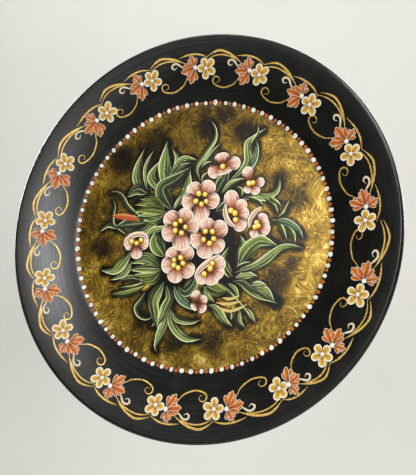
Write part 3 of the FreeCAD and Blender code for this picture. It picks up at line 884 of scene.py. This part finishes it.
def petal(paint, heart, direction, reach, width, lift, rng):
    """A petal: dark throat, pink middle, creased and darker at the sides, with a pale line round its edge."""
    x, z, s, across, sideways = lobe(heart, direction, reach * 0.95, width * 1.07)
    run = s + 0.07 * np.sin(across * 17 + direction) + 0.04 * np.sin(across * 29 + reach)
    body = mix(THROAT, PINK, smooth(0.3, 0.56, run))
    body = mix(DEEP_THROAT, body, smooth(0.14, 0.36, run))
    body = mix(body, BLUSH, smooth(0.55, 0.9, run))
    body = mix(body, DEEP_THROAT, 0.8 * smooth(0.5, 0.9, np.abs(across)) * (1 - smooth(0.5, 0.85, s)))
    body = mix(body, FOLD, 0.6 * np.exp(-(((across - 0.08) / 0.16) ** 2)) * smooth(0.2, 0.5, s) * (s < 0.93))
    lit_side = smooth(0.25, 0.6, across) * (1 - smooth(0.75, 0.95, across))
    body = mix(body, PALE_PINK, 0.5 * lit_side * smooth(0.4, 0.7, s))
    body = mix(body, PALE_PINK, 0.35 * smooth(0.84, 0.96, s))
    crown = 0.12 * np.sin(math.pi * s**0.8) * (1 - across**2) + 0.02 * np.sin(across * 21 + direction) * s
    paint.touch(x, z, lift + crown, body, s * reach, sideways)
    first = int(0.4 * len(x))
    left = np.stack([x[first:, 1], z[first:, 1]], -1)
    right = np.stack([x[first:-1, -2], z[first:-1, -2]], -1)[::-1]
    rim = curve_through(np.concatenate([left, right]), 0.7)
    brush_line(paint, rim, 0.62, EDGE_PINK, lift + 0.09, taper=(0.25, 0.25))
    fine_lines(paint, heart, math.radians(direction), reach, width, lift, rng)


def back_petal(paint, heart, route, width, lift):
    """A petal of a half-open flower seen edge on: a long narrow band, pale along both sides."""
    line = curve_through(np.array(route) + np.array(heart), 0.7)
    t = lengths(line) / lengths(line)[-1]
    half = width / 2 * np.sin(math.pi * t) ** 0.55 + 0.12
    across = np.array([-1, -0.8, -0.5, 0, 0.5, 0.8, 1])
    body = mix(BLUSH, CREASE, smooth(0.0, 0.5, -across))
    body = mix(body, EDGE_PINK, smooth(0.45, 0.7, np.abs(across)))
    band(paint, line, half, across, lift, 0.03, body, t * 12)


def make_flowers(material):
    """Every flower of the bouquet as a piece. Gives back where they lie, as (x, z, radius)."""
    rng = random.Random(8)
    covered = []
    for name, (heart, level, petals, stamens, back) in FLOWERS.items():
        paint = Paint()
        lift = FLOWER_LIFT + level * FLOWER_STEP
        for order, (direction, reach, width) in enumerate(petals):
            petal(paint, heart, direction, reach, width, lift + order * PETAL_STEP, rng)
            turn, out = math.radians(direction), reach * 0.6
            covered.append((heart[0] + out * math.cos(turn), heart[1] + out * math.sin(turn), width * 0.4))
        if back:
            back_petal(paint, heart, back[1], back[0], lift + BACK_RISE)
        eye = 5.3 if len(stamens) > 4 else 2.6
        blob(paint, *heart, eye, 0.03, EYE, EYE_EDGE, lift + EYE_RISE, sides=18)
        for sx, sz in stamens:
            spot, turn = (heart[0] + sx, heart[1] + sz), rng.uniform(0, TURN)
            size = rng.uniform(1.8, 2.2)
            blob(paint, *spot, size + 0.4, 0.04, STAMEN_SHADE, STAMEN_SHADE_EDGE, lift + DARK_RISE, 1.1, turn)
            blob(paint, *spot, size, 0.05, STAMEN, STAMEN_EDGE, lift + STAMEN_RISE, 1.1, turn)
            shine = spot[0] - 0.3, spot[1] + 0.5
            blob(paint, *shine, size * 0.55, 0.03, GLINT, STAMEN_TOP, lift + GLINT_RISE, sides=10)
        piece(f"flower_{name}", paint.mesh("flower"), material)
    return covered


PINK_BUD = (-3, -52)
ORANGE_BUD = ((-69, 24), (-60, 22), (-50, 19), (-45, 15.5))
BUD_ORANGE, BUD_LIGHT, BUD_TIP = (178, 78, 40), (214, 140, 92), (120, 96, 56)


def make_buds(material):
    """The two unopened buds: one low in the middle, one orange at the left."""
    rng = random.Random(3)
    paint = Paint()
    for direction, reach, width in ((215, 6, 6), (-52, 8, 7), (28, 8, 6.5), (100, 10, 7)):
        petal(paint, PINK_BUD, direction, reach, width, FLOWER_LIFT, rng)
    piece("bud_bottom", paint.mesh("bud"), material)
    paint = Paint()
    line = curve_through(ORANGE_BUD, 1.0)
    t = lengths(line) / lengths(line)[-1]
    across = np.linspace(-1, 1, 9)
    half = 2.2 * np.sin(math.pi * t**0.9) ** 0.7 + 0.15
    body = mix(BUD_ORANGE, BUD_LIGHT, smooth(-0.1, 0.9, across))
    body = mix(body, BUD_TIP, smooth(0.7, 1.0, t)[:, None])
    band(paint, line, half, across, 0.5, 0.1, body, lengths(line))
    piece("bud_orange", paint.mesh("bud"), material)


GOLD_RIBBONS = (
    ((16, -50), (22, -51.5), (29, -50)),
    ((11, -53), (20, -55), (30, -54)),
    ((11, -56), (20, -60), (28, -59), (34, -56.5)),
)
RIBBON_GOLD = (214, 190, 116)


def make_ribbons(material):
    """Three short strokes of gold under the bouquet."""
    paint = Paint()
    for route in GOLD_RIBBONS:
        brush_line(paint, curve_through(route, 0.8), 2.0, RIBBON_GOLD, 0.45, height=0.06)
    piece("gold_ribbons", paint.mesh("ribbons"), material)


# ---- stage, light and camera
STAGE_FLOOR = -0.42
FLOOR_GREY = (184, 183, 178)


def make_stage():
    """A pale sweep behind and under the tray: floor, a round cove and a wall."""
    material, tree, shader = new_material("backdrop", Roughness=0.9)
    place = node(tree, "TexCoord").outputs["Object"]
    mottle = noise(tree, place, 2.0, 2.0)
    wall = ramp(tree, mottle, ((0.3, (228, 227, 219)), (0.7, (234, 233, 226))))
    height = node(tree, "SeparateXYZ", Vector=place).outputs["Z"]
    risen = node(tree, "MapRange", Value=height, From_Min=STAGE_FLOOR, From_Max=STAGE_FLOOR + 0.05).outputs[0]
    feed(shader, "Base Color", blend_colour(tree, risen, rgba(FLOOR_GREY), wall))
    half_width, wall_y, cove, top, front = 3.0, 1.3, 0.5, 2.2, -2.5
    profile = [(front, STAGE_FLOOR), (wall_y - cove, STAGE_FLOOR)]
    profile += [(wall_y - cove + cove * math.sin(a), STAGE_FLOOR + cove * (1 - math.cos(a)))
                for a in np.linspace(0, math.pi / 2, 16)[1:]]
    profile.append((wall_y, top))
    points = [(side * half_width, y, z) for y, z in profile for side in (-1, 1)]
    faces = [(2 * i, 2 * i + 1, 2 * i + 3, 2 * i + 2) for i in range(len(profile) - 1)]
    mesh = bpy.data.meshes.new("backdrop")
    mesh.from_pydata(points, [], faces)
    mesh.shade_smooth()
    mesh.materials.append(material)
    backdrop = put("backdrop", mesh)


def area_light(name, place, aim, size, watts, spread=180):
    """A round lamp of this size in metres, with its light held to spread degrees."""
    data = bpy.data.lights.new(name, "AREA")
    data.shape, data.size, data.energy, data.spread = "DISK", size, watts, math.radians(spread)
    lamp = put(name, data)
    lamp.location = place
    lamp.rotation_euler = (Vector(aim) - Vector(place)).to_track_quat("-Z", "Y").to_euler()


def make_lights():
    """A soft key high at the right, a small light that the gold and the left of the border reflect, one from
    above for the wall, two for the back, and a pale room.
    """
    area_light("key", (0.66, -0.86, 0.75), (0, 0, 0), 0.6, 20)
    area_light("sheen", (-0.07, -1.18, 0.25), (0, 0, 0), 0.3, 4.8)
    area_light("above", (-0.5, -0.6, 2.2), (-0.85, 1.2, 0.1), 1.4, 40)
    area_light("back_left", (-1.1, 1.0, 0.7), (0, 0, 0), 0.8, 5, spread=60)
    area_light("back_right", (1.2, 0.9, 0.3), (0, 0, 0), 0.6, 3, spread=60)
    world = bpy.data.worlds.new("studio")
    world.use_nodes = True
    tree = world.node_tree
    room, seen = tree.nodes["Background"], node(tree, "Background", Color=rgba((222, 222, 216)), Strength=1.0)
    room.inputs["Color"].default_value, room.inputs["Strength"].default_value = rgba((238, 242, 246)), 0.09
    to_camera = node(tree, "LightPath").outputs["Is Camera Ray"]
    shown = node(tree, "MixShader", _0=to_camera, _1=room.outputs[0], _2=seen.outputs[0])
    tree.links.new(shown.outputs[0], tree.nodes["World Output"].inputs["Surface"])
    bpy.context.scene.world = world
    bpy.context.scene.view_settings.view_transform = "Standard"


CAMERA_PLACE = (0.17528, -0.46946, -0.11003)
CAMERA_AIM = (0.00861, -0.0008, -0.00449)
CAMERA_ROLL = math.radians(-4.398)
CAMERA_LENS = 52.34


def make_camera():
    """The camera, low at the right of the tray, turned a little about its line of sight."""
    data = bpy.data.cameras.new("camera")
    data.lens, data.sensor_width = CAMERA_LENS, 36.0
    camera = put("camera", data)
    camera.location = CAMERA_PLACE
    look = (Vector(CAMERA_AIM) - Vector(CAMERA_PLACE)).to_track_quat("-Z", "Y").to_matrix()
    camera.rotation_euler = (look @ Matrix.Rotation(CAMERA_ROLL, 3, "Z")).to_euler()
    bpy.context.scene.camera = camera


def finish_hardware():
    """The wire, strap and ring keep their CAD shapes and get steel finishes."""
    finishes = {
        "rim_wire": steel_material("rim_steel", (120, 118, 112), (70, 62, 54), 0.45),
        "hanger_strap": steel_material("strap_steel", (118, 115, 108), (72, 66, 58), 0.42),
        "hanger_ring": steel_material("ring_steel", (134, 132, 126), (86, 81, 73), 0.34),
    }
    for name, material in finishes.items():
        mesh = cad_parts[name].data
        mesh.materials.clear()
        mesh.materials.append(material)


def main():
    lacquer, gilding = lacquer_material(), gilded_material()
    oil, gold = oil_material(), gold_line_material()
    make_tray(lacquer)
    covered = make_leaves(oil) + make_flowers(oil)
    make_buds(oil)
    make_ground(gilding, covered)
    make_dots(oil)
    make_border(oil, gold)
    make_ribbons(oil)
    finish_hardware()
    make_stage()
    make_lights()
    make_camera()


main()
